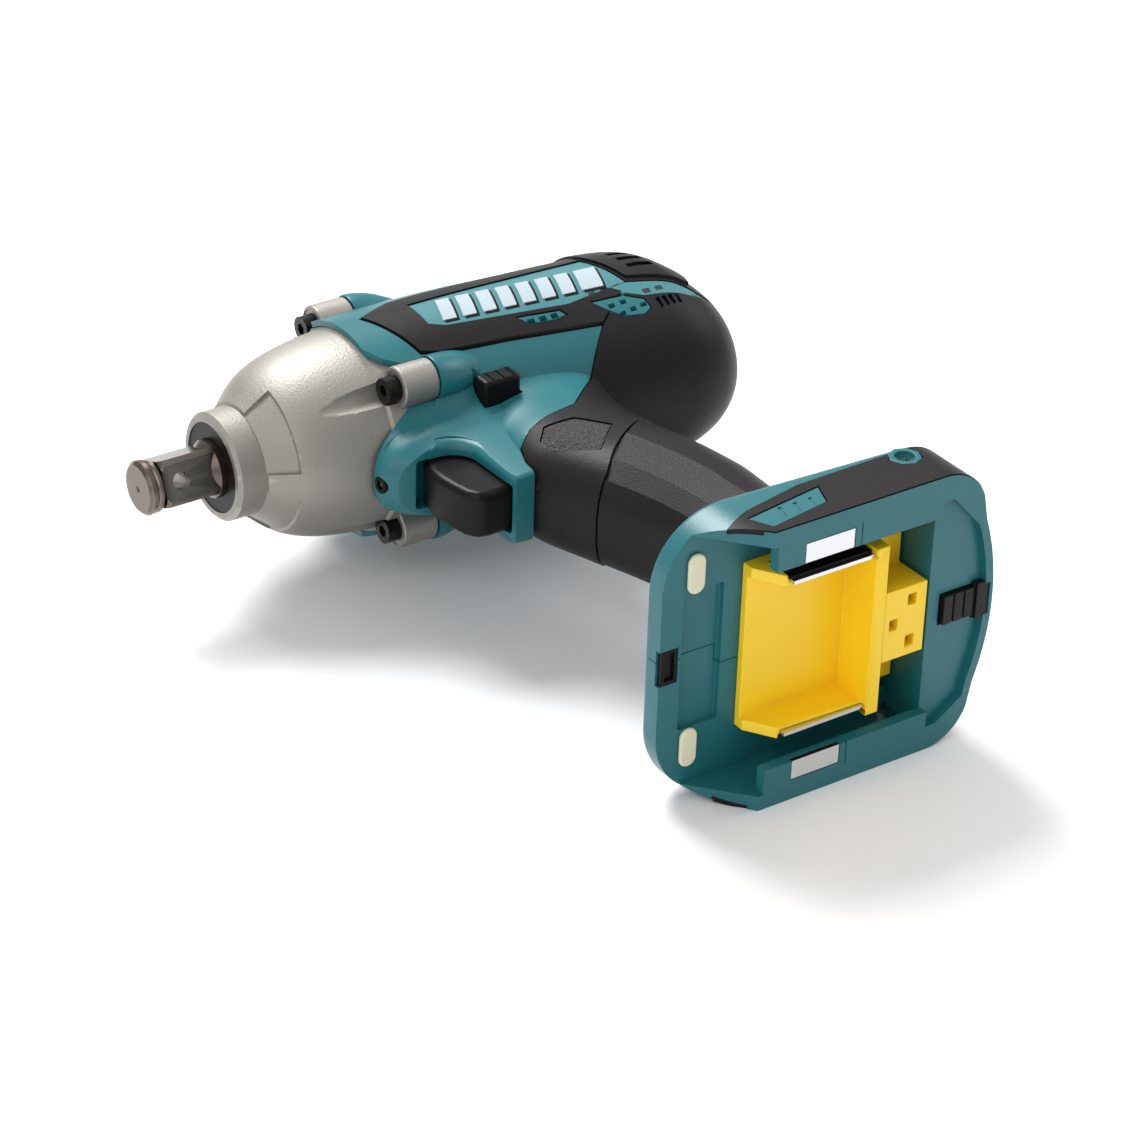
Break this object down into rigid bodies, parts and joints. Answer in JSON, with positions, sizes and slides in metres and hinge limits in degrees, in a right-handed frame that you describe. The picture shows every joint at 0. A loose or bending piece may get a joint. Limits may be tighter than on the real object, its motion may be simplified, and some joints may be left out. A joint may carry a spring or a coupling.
{
  "type": "impact wrench",
  "caption": "Cordless pistol-grip impact wrench with a square drive, cast hammer case, moulded two-colour body, trigger, direction lever and an open battery foot.",
  "frame": {"origin": "on the output axis, at the tip face of the square drive", "axes": "+X rearward along the output axis, +Y from the battery foot towards the top of the head, +Z to the tool's left side, which faces up as the tool lies on its right side"},
  "size_m": [0.178, 0.1906, 0.0798],
  "materials": {
    "teal_shell": "fine moulded texture",
    "dark_elastomer": "soft moulded elastomer",
    "cast_case": "satin blasted casting",
    "dark_steel": "ground, oiled",
    "bright_steel": "bright",
    "black_parts": "fine texture",
    "black_bolts": "black oxide",
    "bronze": "sintered",
    "copper": "lacquered",
    "magnet": "sintered ferrite",
    "yellow_block": "smooth moulded",
    "ivory_pad": "soft rubber",
    "lens": "clear",
    "board": "solder mask",
    "wire_red": "insulation",
    "wire_black": "insulation"
  },
  "bodies": {
    "root": {"housing_left": "teal_shell", "housing_right": "teal_shell", "grip_left": "dark_elastomer", "grip_right": "dark_elastomer", "band_left": "dark_elastomer", "band_right": "dark_elastomer", "side_plate_left": "teal_shell", "side_plate_right": "teal_shell", "foot_bumper_left": "dark_elastomer", "foot_bumper_right": "dark_elastomer", "foot_label_left": "teal_shell", "foot_label_right": "teal_shell", "hammer_case": "cast_case", "hammer_case_bolts": "black_bolts", "housing_screws": "dark_steel", "nose_seal": "black_parts", "anvil_bushing": "bronze", "ring_gear": "dark_steel", "spindle_bearing": "bright_steel", "bearing_box": "black_parts", "motor_yoke": "bright_steel", "motor_magnets": "magnet", "motor_bearing_front": "bright_steel", "motor_bearing_rear": "bright_steel", "brush_holder": "black_parts", "carbon_brushes": "black_parts", "brush_springs": "bright_steel", "switch_body": "black_parts", "led_lens": "lens", "led_board": "board", "terminal_block": "yellow_block", "terminals": "bright_steel", "rail_plates": "bright_steel", "foot_pads": "ivory_pad", "rear_cushion": "dark_elastomer", "latch_catch": "black_parts", "hook_nuts": "bright_steel", "lead_wires": "wire_red", "motor_wires": "wire_black"},
    "anvil": {"anvil": "dark_steel", "friction_ring": "dark_steel"},
    "hammer": {"hammer": "dark_steel"},
    "spindle": {"spindle": "dark_steel", "hammer_spring": "bright_steel", "spring_washer": "bright_steel", "cam_balls": "bright_steel", "planet_pins": "bright_steel"},
    "planet_1": {"planet_gear_1": "bright_steel"},
    "planet_2": {"planet_gear_2": "bright_steel"},
    "armature": {"motor_shaft": "bright_steel", "armature_core": "dark_steel", "armature_windings": "copper", "commutator": "copper", "motor_fan": "black_parts"},
    "trigger": {"trigger": "black_parts", "switch_plunger": "black_parts", "trigger_spring": "bright_steel"},
    "fr_lever": {"fr_lever": "black_parts"}
  },
  "joints": [
    {"name": "armature_spin", "type": "hinge", "parent": "root", "child": "armature", "pos_m": [0, 0, 0], "axis": [1, 0, 0], "continuous": true},
    {"name": "spindle_spin", "type": "hinge", "parent": "root", "child": "spindle", "pos_m": [0, 0, 0], "axis": [1, 0, 0], "continuous": true},
    {"name": "planet_1_spin", "type": "hinge", "parent": "spindle", "child": "planet_1", "pos_m": [0, 0, 0.0135], "axis": [1, 0, 0], "continuous": true},
    {"name": "planet_2_spin", "type": "hinge", "parent": "spindle", "child": "planet_2", "pos_m": [0, 0, -0.0135], "axis": [1, 0, 0], "continuous": true},
    {"name": "anvil_spin", "type": "hinge", "parent": "root", "child": "anvil", "pos_m": [0, 0, 0], "axis": [1, 0, 0], "continuous": true},
    {"name": "hammer_slide", "type": "slide", "parent": "spindle", "child": "hammer", "axis": [1, 0, 0], "range_m": [0, 0.008], "stiffness_N_per_m": 4000, "springref_m": -0.005, "deforming": ["hammer_spring"]},
    {"name": "trigger_slide", "type": "slide", "parent": "root", "child": "trigger", "axis": [1, 0, 0], "range_m": [0, 0.0065], "stiffness_N_per_m": 800, "springref_m": -0.003, "deforming": ["trigger_spring"]},
    {"name": "fr_lever_slide", "type": "slide", "parent": "root", "child": "fr_lever", "axis": [0, 0, 1], "range_m": [-0.007, 0]}
  ],
  "couplings": [
    {"joint": "spindle_spin", "follows": "armature_spin", "ratio": 0.16667},
    {"joint": "anvil_spin", "follows": "armature_spin", "ratio": 0.16667},
    {"joint": "planet_1_spin", "follows": "armature_spin", "ratio": -0.41667},
    {"joint": "planet_2_spin", "follows": "armature_spin", "ratio": -0.41667}
  ]
}
